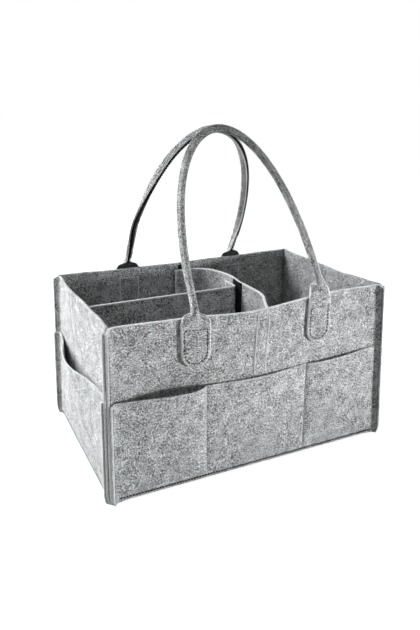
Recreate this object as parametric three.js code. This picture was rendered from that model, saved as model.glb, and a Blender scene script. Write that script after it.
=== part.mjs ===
// A felt diaper caddy: an open box of sewn felt with outside pockets, two folded felt handles
// that lean together, and two dividers that pull off hook strips. Millimetres, +Z up, the front
// along -Y, and the origin under the middle of the floor.
import * as THREE from 'three';

// The box, between the middles of its felt walls
const floorLength = 327;
const floorDepth = 210;
const wallHeight = 183;
const endLean = 7;
const sideLean = 6.5;
const frontBow = 14;
const backBow = -6;
const bowRise = 2;
const bowFocus = 4;

// Felt and sewing
const wallFelt = 3;
const pocketFelt = 2;
const sewnGap = 0.3;
const seamBend = 6;
const seamAllowance = 7;
const threadRadius = 0.45;
const floorFelt = 3;
const floorEdge = 6;
const floorCorner = 8;
const footSeamHeight = 4;

// Pockets
const pocketHeight = 108;
const pocketSag = 2;
const pocketSeamOffset = 60;
const sidePocketSwell = 9;
const middlePocketSwell = 5.5;
const endPocketSwell = 12;
const pocketFlare = 1.2;
const sidePocketPeak = 0.7;
const endPocketPeak = 0.58;

// Handles
const tabSpread = 72;
const tabWidth = 29.5;
const tabDrop = 51;
const tabFelt = 3;
const neckRise = 8;
const shoulderDrop = 10;
const neckWidth = 13;
const neckLength = 22;
const gripWidth = 9.8;
const gripThickness = 8.2;
const handleLength = 187.5;
const archFullness = 2.3;
const handlesApart = 0.6;
const tabStitchInset = 3;
const tabStitchDrop = 12.5;

// Dividers and hook strips
const dividerFelt = 3;
const dividerGap = 0.3;
const dividerTab = 20;
const dividerBend = 6;
const crossTop = 175;
const crossFrontX = 11;
const crossBackX = 13;
const crossFrontPull = 28;
const crossBackPull = 42;
const crossFrontRun = 65;
const crossBackRun = 31;
const crossFrontTurn = 2.4;
const crossBackTurn = 9;
const longTop = 170;
const longLeftY = 9;
const longRightY = 3;
const hookFelt = 1.2;
const hookWidth = 16;
const hookFoot = 25;
const hookRimGap = 5;
const dividerHookWidth = 26;
const dividerHookFront = 10;

const feltGrey = 0x8d8e8d;
const darkThread = 0x3a3a3c;
const hookBlack = 0x141415;

const caddy = new THREE.Group();

function addPiece(name, geometry, color) {
  const material = new THREE.MeshStandardMaterial({ color, roughness: 0.95, metalness: 0 });
  const mesh = new THREE.Mesh(geometry, material);
  mesh.name = name;
  caddy.add(mesh);
}

// Each wall is described by the way it runs, the way it faces, how far out it stands and how
// far it reaches to each side.
const heightShare = (z) => Math.min(Math.max(z / wallHeight, 0), 1);
const halfLength = (z) => floorLength / 2 - endLean * heightShare(z);
const halfDepth = (z) => floorDepth / 2 - sideLean * heightShare(z);

function makeWall(runX, runY, reach, span, bow) {
  const run = new THREE.Vector3(runX, runY, 0);
  const face = new THREE.Vector3(runY, -runX, 0);
  return { run, face, reach, span, bow };
}

const frontWall = makeWall(1, 0, halfDepth, halfLength, frontBow);
const rightWall = makeWall(0, 1, halfLength, halfDepth, 0);
const backWall = makeWall(-1, 0, halfDepth, halfLength, backBow);
const leftWall = makeWall(0, -1, halfLength, halfDepth, 0);

function wallPoint(wall, along, out, z) {
  const point = wall.run.clone().multiplyScalar(along).addScaledVector(wall.face, out);
  return point.setZ(z);
}

// How far out the middle of a wall's felt stands: it leans in, and bows near the rim.
function wallMiddle(wall, along, z) {
  const across = Math.min(Math.abs(along) / wall.span(z), 1);
  const bowAcross = Math.cos((Math.PI / 2) * across) ** bowFocus;
  return wall.reach(z) + wall.bow * bowAcross * heightShare(z) ** bowRise;
}

// A closed sheet between two grids of points. Row by row it runs along, then up.
function sheetGeometry(rows) {
  const across = rows[0].length;
  const innerStart = rows.length * across;
  const positions = [];
  for (const side of ['outer', 'inner']) {
    for (const row of rows) {
      for (const pair of row) positions.push(...pair[side].toArray());
    }
  }
  const index = [];
  const addQuad = (a, b, c, d) => index.push(a, b, c, a, c, d);
  for (let j = 0; j + 1 < rows.length; j += 1) {
    for (let i = 0; i + 1 < across; i += 1) {
      const a = j * across + i;
      const d = a + across;
      addQuad(a, a + 1, d + 1, d);
      addQuad(innerStart + a + 1, innerStart + a, innerStart + d, innerStart + d + 1);
    }
    const left = j * across;
    const right = left + across - 1;
    addQuad(left, left + across, innerStart + left + across, innerStart + left);
    addQuad(right + across, right, innerStart + right, innerStart + right + across);
  }
  const top = innerStart - across;
  for (let i = 0; i + 1 < across; i += 1) {
    addQuad(i + 1, i, innerStart + i, innerStart + i + 1);
    addQuad(top + i, top + i + 1, innerStart + top + i + 1, innerStart + top + i);
  }
  return meshGeometry(positions, index);
}

function meshGeometry(positions, index) {
  const geometry = new THREE.BufferGeometry();
  geometry.setAttribute('position', new THREE.Float32BufferAttribute(positions, 3));
  geometry.setIndex(index);
  geometry.computeVertexNormals();
  return geometry;
}

// A closed body through rings of points that turn anticlockwise seen from the last ring. A
// closed loop joins its last ring to its first, and any other body is capped.
function ringsGeometry(rings, isLoop = false) {
  const sides = rings[0].length;
  const positions = rings.flat().flatMap((point) => point.toArray());
  const index = [];
  const steps = isLoop ? rings.length : rings.length - 1;
  for (let j = 0; j < steps; j += 1) {
    const next = ((j + 1) % rings.length) * sides;
    for (let i = 0; i < sides; i += 1) {
      const k = (i + 1) % sides;
      index.push(j * sides + i, j * sides + k, next + k);
      index.push(j * sides + i, next + k, next + i);
    }
  }
  const last = (rings.length - 1) * sides;
  for (let i = 1; i + 1 < sides && !isLoop; i += 1) {
    index.push(0, i + 1, i);
    index.push(last, last + i, last + i + 1);
  }
  return meshGeometry(positions, index);
}

// The line that a layer of a wall follows at one height: a corner seam, a bend, the wall, a bend
// and a corner seam. The offset is how far the layer lies outside the wall's own felt.
const bendSteps = 3;
const bendInset = seamBend * (Math.SQRT2 - 1) + (wallFelt + sewnGap) / Math.SQRT2;
const wallSpan = (wall, z) => wall.span(z) - bendInset;

function seamStations(wall, z, offset, end) {
  const radius = seamBend - offset;
  const stations = [];
  for (let step = 0; step <= bendSteps; step += 1) {
    const turn = (Math.PI / 4) * (step / bendSteps);
    const along = end * (wallSpan(wall, z) + radius * Math.sin(turn));
    const out = wall.reach(z) + seamBend - radius * Math.cos(turn);
    stations.push({ along, out, turn: end * turn });
  }
  const root = stations[bendSteps];
  const tip = seamAllowance * Math.SQRT1_2;
  stations.push({ along: root.along + end * tip, out: root.out + tip, turn: root.turn });
  return stations;
}

function layerRow(wall, shares, heightAt, offset, felt, swellAt) {
  const outAt = (along, z) => wallMiddle(wall, along, z) + offset + swellAt(along, z);
  const pairAt = ({ along, out, turn }, z) => {
    const normalAlong = -Math.sin(turn) * (felt / 2);
    const normalOut = Math.cos(turn) * (felt / 2);
    return {
      outer: wallPoint(wall, along + normalAlong, out + normalOut, z),
      inner: wallPoint(wall, along - normalAlong, out - normalOut, z),
    };
  };
  const edgeZ = heightAt(1);
  const row = seamStations(wall, edgeZ, offset, -1).reverse().map((s) => pairAt(s, edgeZ));
  for (const share of shares) {
    const z = heightAt(share);
    const along = share * wallSpan(wall, z);
    const slope = outAt(along + 0.5, z) - outAt(along - 0.5, z);
    row.push(pairAt({ along, out: outAt(along, z), turn: Math.atan(slope) }, z));
  }
  return [...row, ...seamStations(wall, edgeZ, offset, 1).map((s) => pairAt(s, edgeZ))];
}

// Shares across a wall, without its two ends, which the bends supply
const evenShares = (count) => Array.from({ length: count - 1 }, (_, i) => (2 * (i + 1)) / count - 1);

function panelGeometry(wall, columns) {
  const rows = [];
  const levels = wall.bow === 0 ? 2 : 6;
  for (let j = 0; j <= levels; j += 1) {
    const z = (wallHeight * j) / levels;
    rows.push(layerRow(wall, evenShares(columns), () => z, 0, wallFelt, () => 0));
  }
  return sheetGeometry(rows);
}

addPiece('front_panel', panelGeometry(frontWall, 30), feltGrey);
addPiece('back_panel', panelGeometry(backWall, 30), feltGrey);
addPiece('left_end_panel', panelGeometry(leftWall, 2), feltGrey);
addPiece('right_end_panel', panelGeometry(rightWall, 2), feltGrey);

// The floor, with its edge turned up inside the walls
function roundedRing(halfX, halfY, radius, z) {
  const ring = [];
  for (let corner = 0; corner < 4; corner += 1) {
    for (let step = 0; step <= 3; step += 1) {
      const angle = (Math.PI / 2) * (corner + step / 3);
      const signX = corner === 0 || corner === 3 ? 1 : -1;
      const signY = corner < 2 ? 1 : -1;
      const x = signX * (halfX - radius) + radius * Math.cos(angle);
      const y = signY * (halfY - radius) + radius * Math.sin(angle);
      ring.push(new THREE.Vector3(x, y, z));
    }
  }
  return ring;
}

function floorRing(z, inset) {
  const margin = wallFelt / 2 + sewnGap + inset;
  return roundedRing(halfLength(z) - margin, halfDepth(z) - margin, floorCorner - inset, z);
}

const floorRings = [
  floorRing(0, 0),
  floorRing(floorEdge, 0),
  floorRing(floorEdge, floorFelt),
  floorRing(floorFelt, floorFelt),
];
addPiece('base_panel', ringsGeometry(floorRings), feltGrey);

// Pockets: a felt layer over the foot of each wall. It is sewn into the corner seams, and swells
// between the places where it is sewn down.
const pocketOffset = wallFelt / 2 + sewnGap + pocketFelt / 2;

// How far a pocket swells, from 0 where it is sewn to 1 at its fullest, which lies at the peak
function swellShape(share, peak) {
  if (share <= 0 || share >= 1) return 0;
  const skew = Math.log(0.5) / Math.log(peak);
  return Math.sin(Math.PI * share ** skew) ** 2;
}

// The three pockets along a long wall
function sideSwell(wall, along, z) {
  const outer = wallSpan(wall, z) - pocketSeamOffset;
  if (Math.abs(along) < pocketSeamOffset) {
    const share = (along + pocketSeamOffset) / (2 * pocketSeamOffset);
    return middlePocketSwell * swellShape(share, 0.5);
  }
  const share = (wallSpan(wall, z) - Math.abs(along)) / outer;
  return sidePocketSwell * swellShape(share, sidePocketPeak);
}

// The one pocket across an end wall, fullest towards the back
function endSwell(wall, along, z) {
  const towardsBack = along * Math.sign(wall.run.y);
  const share = (towardsBack + wallSpan(wall, z)) / (2 * wallSpan(wall, z));
  return endPocketSwell * swellShape(share, endPocketPeak);
}

const pocketLevels = [0, 0.2, 0.5, 0.75, 1];

function pocketGeometry(wall, swell, shares, fullSwell) {
  const rows = pocketLevels.map((level) => {
    const lipAt = (along) => pocketHeight - (pocketSag * swell(wall, along, pocketHeight)) / fullSwell;
    const heightAt = (share) => level * lipAt(share * wallSpan(wall, pocketHeight));
    const swellAt = (along, z) => swell(wall, along, z) * (z / pocketHeight) ** pocketFlare;
    return layerRow(wall, shares, heightAt, pocketOffset, pocketFelt, swellAt);
  });
  return sheetGeometry(rows);
}

// Shares across a long pocket, with a column on each seam and on each corner's bend
function sidePocketShares(wall) {
  const seamShare = pocketSeamOffset / wallSpan(wall, pocketHeight);
  const outerColumns = 9;
  const middleColumns = 8;
  const shares = [];
  for (let i = 1; i < outerColumns; i += 1) shares.push(-1 + ((1 - seamShare) * i) / outerColumns);
  for (let i = 0; i <= middleColumns; i += 1) shares.push(seamShare * ((2 * i) / middleColumns - 1));
  for (let i = 1; i < outerColumns; i += 1) shares.push(seamShare + ((1 - seamShare) * i) / outerColumns);
  return shares;
}

const sideFullSwell = Math.max(sidePocketSwell, middlePocketSwell);
for (const [name, wall] of [['front', frontWall], ['back', backWall]]) {
  const shares = sidePocketShares(wall);
  addPiece(`${name}_pocket`, pocketGeometry(wall, sideSwell, shares, sideFullSwell), feltGrey);
}
for (const [name, wall] of [['left', leftWall], ['right', rightWall]]) {
  addPiece(`${name}_pocket`, pocketGeometry(wall, endSwell, evenShares(14), endPocketSwell), feltGrey);
}

// Handles: a felt strip whose flat round ends are sewn to the outside of a long wall. The tabs
// end at the necks, where the folded grip swings about the outer edge of the tabs' tops.
const hingeZ = wallHeight + neckRise;
const tabOffset = wallFelt / 2 + sewnGap + tabFelt / 2;

function tabHalfWidth(z) {
  const half = tabWidth / 2;
  const roundZ = wallHeight - tabDrop + half;
  if (z < roundZ) return Math.sqrt(Math.max(half ** 2 - (roundZ - z) ** 2, 0));
  const shoulderShare = (z - wallHeight + shoulderDrop) / (shoulderDrop + neckRise);
  const shoulder = Math.sqrt(1 - Math.min(Math.max(shoulderShare, 0), 1) ** 2);
  return neckWidth / 2 + (half - neckWidth / 2) * shoulder;
}

// The middle of a tab's felt follows the wall, and flattens out above the rim.
function tabMiddle(wall, along, centre, z) {
  const flatten = Math.min(Math.max((z - wallHeight) / neckRise, 0), 1);
  const follow = THREE.MathUtils.lerp(along, centre, flatten);
  return wallMiddle(wall, follow, z) + tabOffset;
}

function tabGeometry(wall, centre) {
  const half = tabWidth / 2;
  const foot = wallHeight - tabDrop;
  const heights = [0.04, 0.15, 0.35, 0.65, 1].map((share) => foot + half * share);
  const shoulderZ = wallHeight - shoulderDrop;
  heights.push((foot + half + shoulderZ) / 2);
  const shoulderShares = [0, 0.3, 0.55, 0.75, 0.9, 1];
  heights.push(...shoulderShares.map((share) => THREE.MathUtils.lerp(shoulderZ, hingeZ, share)));
  const rows = heights.map((z) => [-1, -0.5, 0, 0.5, 1].map((share) => {
    const along = centre + share * tabHalfWidth(z);
    const out = tabMiddle(wall, along, centre, z);
    return {
      outer: wallPoint(wall, along, out + tabFelt / 2, z),
      inner: wallPoint(wall, along, out - tabFelt / 2, z),
    };
  }));
  return sheetGeometry(rows);
}

// The grip's arch: a full-topped ellipse in a plane that leans in until the handles meet.
const neckOut = (wall) => tabMiddle(wall, tabSpread, tabSpread, hingeZ);
const neckToMeeting = (neckOut(frontWall) + neckOut(backWall) - gripWidth - handlesApart) / 2;
const handleLean = Math.asin(neckToMeeting / handleLength);
const gripSides = 12;
const neckSquareness = 6;
const gripSquareness = 2.5;

function handleGeometry(wall) {
  const legRises = [0, 0.15, 0.4, 0.7, 1].map((share) => neckLength * share);
  const turnAtRise = (rise) => Math.asin((rise / handleLength) ** (archFullness / 2));
  const turns = legRises.map(turnAtRise);
  const topSteps = 13;
  const lastTurn = turns.at(-1);
  for (let step = 1; step <= topSteps; step += 1) {
    turns.push(lastTurn + ((Math.PI / 2 - lastTurn) * step) / topSteps);
  }
  const mirrored = turns.slice(0, -1).reverse().map((turn) => Math.PI - turn);
  const archPoint = (turn) => {
    const rise = handleLength * Math.max(Math.sin(turn), 0) ** (2 / archFullness);
    return new THREE.Vector2(-tabSpread * Math.cos(turn), rise);
  };
  const rings = [...turns, ...mirrored].map((turn) => {
    const centre = archPoint(turn);
    const fold = THREE.MathUtils.smoothstep(centre.y, 0, neckLength);
    const tilt = handleLean * THREE.MathUtils.smoothstep(centre.y, 0, neckLength / 2);
    const step = 0.002;
    const before = archPoint(Math.max(turn - step, 0));
    const tangent = archPoint(Math.min(turn + step, Math.PI)).sub(before).normalize();
    if (centre.y === 0) tangent.set(0, turn < 1 ? 1 : -1);
    const halfWide = THREE.MathUtils.lerp(neckWidth, gripWidth, fold) / 2;
    const halfThick = THREE.MathUtils.lerp(tabFelt, gripThickness, fold) / 2;
    const squareness = THREE.MathUtils.lerp(neckSquareness, gripSquareness, fold);
    const out = neckOut(wall) - centre.y * Math.sin(handleLean);
    const z = hingeZ + sewnGap + centre.y * Math.cos(handleLean);
    const middle = wallPoint(wall, centre.x, out, z);
    const wide = wall.run.clone().multiplyScalar(-tangent.y);
    wide.addScaledVector(wall.face, -tangent.x * Math.sin(tilt));
    wide.z += tangent.x * Math.cos(tilt);
    const thick = wall.face.clone().multiplyScalar(Math.cos(tilt));
    thick.z = Math.sin(tilt);
    return Array.from({ length: gripSides }, (_, i) => {
      const angle = (2 * Math.PI * i) / gripSides;
      const rounded = (value) => Math.sign(value) * Math.abs(value) ** (2 / squareness);
      return middle.clone()
        .addScaledVector(wide, halfWide * rounded(Math.cos(angle)))
        .addScaledVector(thick, halfThick * rounded(Math.sin(angle)));
    });
  });
  return ringsGeometry(rings);
}

// Stitching: an unbroken thread that lies on the felt
const threadSides = 5;

function threadGeometry(points, faces, isLoop) {
  const rings = points.map((point, i) => {
    const before = points[isLoop ? (i + points.length - 1) % points.length : Math.max(i - 1, 0)];
    const after = points[isLoop ? (i + 1) % points.length : Math.min(i + 1, points.length - 1)];
    const forward = after.clone().sub(before).normalize();
    const side = forward.clone().cross(faces).normalize();
    return Array.from({ length: threadSides }, (_, k) => {
      const angle = (2 * Math.PI * k) / threadSides;
      return point.clone()
        .addScaledVector(side, threadRadius * Math.cos(angle))
        .addScaledVector(faces, -threadRadius * Math.sin(angle));
    });
  });
  return ringsGeometry(rings, isLoop);
}

const threadLift = sewnGap + threadRadius;

function tabStitchGeometry(wall, centre) {
  const half = tabWidth / 2 - tabStitchInset;
  const top = wallHeight - tabStitchDrop;
  const roundZ = wallHeight - tabDrop + tabWidth / 2;
  const outline = [[-half, top], [-half / 3, top], [half / 3, top], [half, top], [half, (top + roundZ) / 2]];
  const roundSteps = 8;
  for (let step = 0; step <= roundSteps; step += 1) {
    const angle = -Math.PI * (step / roundSteps);
    outline.push([half * Math.cos(angle), roundZ + half * Math.sin(angle)]);
  }
  outline.push([-half, (top + roundZ) / 2]);
  const points = outline.map(([across, z]) => {
    const out = tabMiddle(wall, centre + across, centre, z) + tabFelt / 2 + threadLift;
    return wallPoint(wall, centre + across, out, z);
  });
  return threadGeometry(points, wall.face, true);
}

for (const [name, wall] of [['front', frontWall], ['back', backWall]]) {
  addPiece(`${name}_handle`, handleGeometry(wall), feltGrey);
  for (const end of [-1, 1]) {
    const side = end * wall.run.x < 0 ? 'left' : 'right';
    addPiece(`${name}_${side}_tab`, tabGeometry(wall, end * tabSpread), feltGrey);
    addPiece(`${name}_${side}_tab_stitching`, tabStitchGeometry(wall, end * tabSpread), darkThread);
    const seamPoints = [0.08, 0.3, 0.5, 0.7, 0.85, 0.97].map((share) => {
      const z = pocketHeight * share;
      const along = end * pocketSeamOffset;
      const out = wallMiddle(wall, along, z) + pocketOffset + pocketFelt / 2 + threadLift;
      return wallPoint(wall, along, out, z);
    });
    addPiece(`${name}_${side}_pocket_seam`, threadGeometry(seamPoints, wall.face, false), darkThread);
  }
}

function footSeamGeometry(wall, swell) {
  const steps = 16;
  const points = [];
  for (let step = 0; step <= steps; step += 1) {
    const along = wallSpan(wall, footSeamHeight) * ((2 * step) / steps - 1);
    const swollen = swell(wall, along, footSeamHeight) * (footSeamHeight / pocketHeight) ** pocketFlare;
    const out = wallMiddle(wall, along, footSeamHeight) + pocketOffset + pocketFelt / 2;
    points.push(wallPoint(wall, along, out + swollen + threadLift, footSeamHeight));
  }
  return threadGeometry(points, wall.face, false);
}

for (const [name, wall, swell] of [['front', frontWall, sideSwell], ['back', backWall, sideSwell],
  ['left', leftWall, endSwell], ['right', rightWall, endSwell]]) {
  addPiece(`${name}_foot_seam`, footSeamGeometry(wall, swell), darkThread);
}

// Dividers stand on the floor's turned-up edge. They lift straight up, so at each height a tab
// stays inside the narrowest place that the wall has from there to the rim.
const dividerFoot = floorEdge + dividerGap;
const hookLift = sewnGap + hookFelt + dividerGap;

function clearReach(wall, along, z) {
  const samples = 12;
  let least = Infinity;
  for (let i = 0; i <= samples; i += 1) {
    const height = THREE.MathUtils.lerp(z, wallHeight, i / samples);
    least = Math.min(least, wallMiddle(wall, along, height));
  }
  return least - wallFelt / 2 - hookLift - dividerFelt / 2;
}

function pathStations(curves) {
  const stations = [];
  for (const [curve, steps] of curves) {
    for (let step = stations.length ? 1 : 0; step <= steps; step += 1) {
      stations.push({ point: curve.getPoint(step / steps), tangent: curve.getTangent(step / steps) });
    }
  }
  return stations;
}

// A felt row along a path in plan. A positive offset moves it to the left of the path.
function pathRow(stations, felt, offset, z) {
  return stations.map(({ point, tangent }) => {
    const shifted = (distance) => new THREE.Vector3(
      point.x - tangent.y * distance,
      point.y + tangent.x * distance,
      z,
    );
    return { outer: shifted(offset - felt / 2), inner: shifted(offset + felt / 2) };
  });
}

const planPoint = (x, y) => new THREE.Vector2(x, y);
const foldSteps = 4;
const crossSteps = 16;

// The cross divider's main curve at one height, from the front bend to the back bend
function crossCurve(z) {
  const frontY = -Math.min(clearReach(frontWall, crossFrontX, z), clearReach(frontWall, -dividerTab, z));
  const backY = Math.min(clearReach(backWall, crossBackX, z), clearReach(backWall, -dividerTab, z));
  const start = planPoint(crossFrontX + crossFrontTurn, frontY + dividerBend);
  const end = planPoint(crossBackX + crossBackTurn, backY - dividerBend);
  const frontPull = planPoint(crossFrontX + crossFrontPull, frontY + crossFrontRun);
  const backPull = planPoint(crossBackX + crossBackPull, backY - crossBackRun);
  return { frontY, backY, curve: new THREE.CubicBezierCurve(start, frontPull, backPull, end) };
}

function crossStations(z) {
  const { frontY, backY, curve } = crossCurve(z);
  const frontCorner = planPoint(crossFrontX, frontY);
  const frontBend = planPoint(crossFrontX - dividerBend, frontY);
  const backCorner = planPoint(crossBackX, backY);
  const backBend = planPoint(crossBackX - dividerBend, backY);
  return pathStations([
    [new THREE.LineCurve(planPoint(frontBend.x - dividerTab, frontY), frontBend), 1],
    [new THREE.QuadraticBezierCurve(frontBend, frontCorner, curve.v0), foldSteps],
    [curve, crossSteps],
    [new THREE.QuadraticBezierCurve(curve.v3, backCorner, backBend), foldSteps],
    [new THREE.LineCurve(backBend, planPoint(backBend.x - dividerTab, backY)), 1],
  ]);
}

const dividerLevels = [0, 0.15, 0.4, 0.7, 1];
const crossRows = dividerLevels.map((share) => {
  const z = THREE.MathUtils.lerp(dividerFoot, crossTop, share);
  return pathRow(crossStations(z), dividerFelt, 0, z);
});
addPiece('cross_divider', sheetGeometry(crossRows), feltGrey);

// The stretch of the cross divider between two depths, at one height
function crossStretch(z, fromY, toY, steps) {
  const { curve } = crossCurve(z);
  const halvings = 40;
  const turnAt = (y) => {
    let low = 0;
    let high = 1;
    for (let i = 0; i < halvings; i += 1) {
      const middle = (low + high) / 2;
      if (curve.getPoint(middle).y < y) low = middle;
      else high = middle;
    }
    return low;
  };
  return Array.from({ length: steps + 1 }, (_, i) => {
    const turn = turnAt(THREE.MathUtils.lerp(fromY, toY, i / steps));
    return { point: curve.getPoint(turn), tangent: curve.getTangent(turn) };
  });
}

const joinFromY = longRightY - dividerHookFront;
const joinToY = joinFromY + dividerHookWidth;
const joinRows = [hookFoot, crossTop - hookRimGap / 2].map((z) => {
  const offset = dividerFelt / 2 + sewnGap + hookFelt / 2;
  return pathRow(crossStretch(z, joinFromY, joinToY, 6), hookFelt, offset, z);
});
addPiece('divider_hook_strip', sheetGeometry(joinRows), hookBlack);

// The long divider runs from the left wall to the hook strip on the cross divider.
const tabEndY = longRightY + dividerBend + dividerTab;
const joinLevels = [dividerFoot, crossTop].flatMap((z) => crossStretch(z, joinFromY, tabEndY, 10));
const joinFace = Math.min(...joinLevels.map(({ point }) => point.x)) - dividerFelt / 2;
const longRightX = joinFace - hookLift - dividerFelt / 2;
const longLeftX = -Math.min(
  clearReach(leftWall, -longLeftY, dividerFoot),
  clearReach(leftWall, -longLeftY - dividerTab - dividerBend, dividerFoot),
);

const longSlope = planPoint(longRightX - longLeftX, longRightY - longLeftY).normalize();
const longStations = (() => {
  const leftCorner = planPoint(longLeftX, longLeftY);
  const rightCorner = planPoint(longRightX, longRightY);
  const leftBend = planPoint(longLeftX, longLeftY + dividerBend);
  const rightBend = planPoint(longRightX, longRightY + dividerBend);
  const start = leftCorner.clone().addScaledVector(longSlope, dividerBend);
  const end = rightCorner.clone().addScaledVector(longSlope, -dividerBend);
  return pathStations([
    [new THREE.LineCurve(planPoint(longLeftX, leftBend.y + dividerTab), leftBend), 1],
    [new THREE.QuadraticBezierCurve(leftBend, leftCorner, start), foldSteps],
    [new THREE.LineCurve(start, end), 2],
    [new THREE.QuadraticBezierCurve(end, rightCorner, rightBend), foldSteps],
    [new THREE.LineCurve(rightBend, planPoint(longRightX, rightBend.y + dividerTab)), 1],
  ]);
})();
const longRows = [dividerFoot, longTop].map((z) => pathRow(longStations, dividerFelt, 0, z));
addPiece('long_divider', sheetGeometry(longRows), feltGrey);

// Hook strips on the walls lie on the inner face of the felt.
function hookGeometry(wall, centre) {
  const rows = [];
  const levels = 6;
  for (let j = 0; j <= levels; j += 1) {
    const z = THREE.MathUtils.lerp(hookFoot, wallHeight - hookRimGap, j / levels);
    rows.push([-1, -0.33, 0.33, 1].map((share) => {
      const along = centre + (share * hookWidth) / 2;
      const face = wallMiddle(wall, along, z) - wallFelt / 2 - sewnGap;
      return { outer: wallPoint(wall, along, face, z), inner: wallPoint(wall, along, face - hookFelt, z) };
    }));
  }
  return sheetGeometry(rows);
}

addPiece('front_hook_strip', hookGeometry(frontWall, crossFrontX - dividerBend - hookWidth / 8), hookBlack);
addPiece('back_hook_strip', hookGeometry(backWall, -(crossBackX - dividerBend - hookWidth / 8)), hookBlack);
addPiece('left_hook_strip', hookGeometry(leftWall, -(longLeftY + dividerBend + hookWidth / 2)), hookBlack);

export default caddy;
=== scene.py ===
# A felt diaper caddy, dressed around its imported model: every solid is replaced by a finer felt
# sheet, tape or run of stitches in the same place. Lengths are millimetres until a mesh is made.
import math
from collections import namedtuple

import bpy
import numpy as np
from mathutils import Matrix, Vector


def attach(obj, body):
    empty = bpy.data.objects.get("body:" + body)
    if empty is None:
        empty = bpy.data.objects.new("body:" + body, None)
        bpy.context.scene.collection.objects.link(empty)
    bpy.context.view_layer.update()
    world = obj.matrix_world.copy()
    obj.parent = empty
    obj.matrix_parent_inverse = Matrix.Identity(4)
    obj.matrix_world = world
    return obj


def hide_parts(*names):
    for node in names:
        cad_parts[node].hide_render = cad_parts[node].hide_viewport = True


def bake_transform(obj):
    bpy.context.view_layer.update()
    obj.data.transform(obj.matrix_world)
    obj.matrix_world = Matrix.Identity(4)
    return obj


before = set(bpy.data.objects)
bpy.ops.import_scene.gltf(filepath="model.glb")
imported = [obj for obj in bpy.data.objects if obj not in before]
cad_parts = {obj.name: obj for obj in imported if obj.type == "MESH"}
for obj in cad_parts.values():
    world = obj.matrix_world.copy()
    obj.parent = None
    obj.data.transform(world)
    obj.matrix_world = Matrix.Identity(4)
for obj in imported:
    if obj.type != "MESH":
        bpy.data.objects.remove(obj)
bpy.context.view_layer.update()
scene = bpy.context.scene

MM = 0.001

# The camera, fitted to the corners of the caddy in the photograph
CAMERA_AZIMUTH = -25.62
CAMERA_ELEVATION = 19.63
CAMERA_DISTANCE = 714.77
CAMERA_TARGET = (-5.53, 0.0, 141.29)
CAMERA_FOCAL_PX = 607.61
IMAGE_LONG_PX = 630
SENSOR_WIDTH = 36

# The box, between the middles of its felt walls
LONG_SIDES = ("front", "back")
FLOOR_LENGTH = 327
FLOOR_DEPTH = 210
FLOOR_CORNER = 8
WALL_HEIGHT = 183
END_LEAN = 7
SIDE_LEAN = 6.5
FRONT_BOW = 14
BACK_BOW = -6
BOW_FOCUS = 4
BOW_RISE = 2
DENT_RISE = 70
# The rim's rise at the front right corner, where it grows to the right and front, and fades above
RIM_SET = 2.6
RIM_SET_RIGHT = (-15, 70)
RIM_SET_FRONT = (0, 100)
RIM_SET_FADE = (WALL_HEIGHT + 10, WALL_HEIGHT + 140)
# The rim's waves as (height, turns along the wall, share of the phase)
RIM_WAVES = ((0.45, 5.3, 1.0), (0.3, 11.0, 2.1))

# Felt and sewing
WALL_FELT = 3
POCKET_FELT = 2
SEWN_GAP = 0.3
SEAM_BEND = 8.5
SEAM_ALLOWANCE = 5.9
SEAM_TAPER = 0.55
SEAM_TAPER_HEIGHT = 12
SEAM_TAPER_CURVE = 1.7
SEAM_DROP = 3
SEAM_DROP_SHARE = 0.45
SEAM_SPLAY = 0.55
LAYER_SPLAY = 0.12
FOOT_TUCK = 2.2
FOOT_TURN = 5
FOOT_CURL = 1.6
FOOT_CORNER = 0.94
FOOT_SEAM_HEIGHT = 5
LAYER_FOOT = 0.8
EDGE_ROW = 0.9
FELT_EDGE = 0.45
POCKET_EDGE = 0.7
TAPE_EDGE = 0.3
EDGE_FADE = 0.7
THREAD_LIFT = 0.1
# How steeply a row of stitches draws in the felt, and the height over which that fades
PRESS_SHARPNESS = 1.4
PRESS_FADE = 5

# Pockets
POCKET_HEIGHT = 108
POCKET_SEAM = 60
POCKET_SEAM_FOOT = 6
SEAM_PRESS = 1.2
SEAM_PRESS_WIDTH = 2.4
LEFT_POCKET_SWELL = 9.5
RIGHT_POCKET_SWELL = 4
MIDDLE_POCKET_SWELL = 3
END_POCKET_SWELL = 12
POCKET_FLARE = 1.2
SIDE_POCKET_PEAK = 0.72
SLACK_RISE = 1.3
SLACK_FALL = 2.5
LIP_RISE = 2.4
LIP_RISE_SPAN = (95, 150)
MOUTH_HOLLOW = 12
MOUTH_CENTRE = (-104.0, 98.0)
MOUTH_REACH = (40.0, 24.0)
END_POCKET_PEAK = 0.58
END_POCKET_RISE = 3.5
END_POCKET_SAG = 5

# Handles
TAB_SPREAD = 72
TAB_WIDTH = 29.5
TAB_DROP = 51
TAB_FELT = 3
TAB_TIP_SQUARE = 0.5
TAB_FINE_DROP = 8
NECK_RISE = 8
NECK_LENGTH = 22
NECK_STEPS = 11
GRIP_WIDTH = 9.8
GRIP_STEPS = 56
HANDLE_LENGTH = 187.5
ARCH_FULLNESS = 2.3
ARCH_STEP = 0.002
HANDLES_APART = 0.6
TAB_STITCH_INSET = 3
TAB_STITCH_DROP = 12.5
TAB_DIP = 0.55
TAB_DIP_WIDTH = 1.3
TAB_STITCH_SINK = 0.45
STRIP_HALF = 7.6
STRIP_FELT = 2.2
FOLD_RADIUS = 1.8
FOLD_TURN = math.radians(178)
FOLD_EDGE_FADE = 0.8
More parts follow.
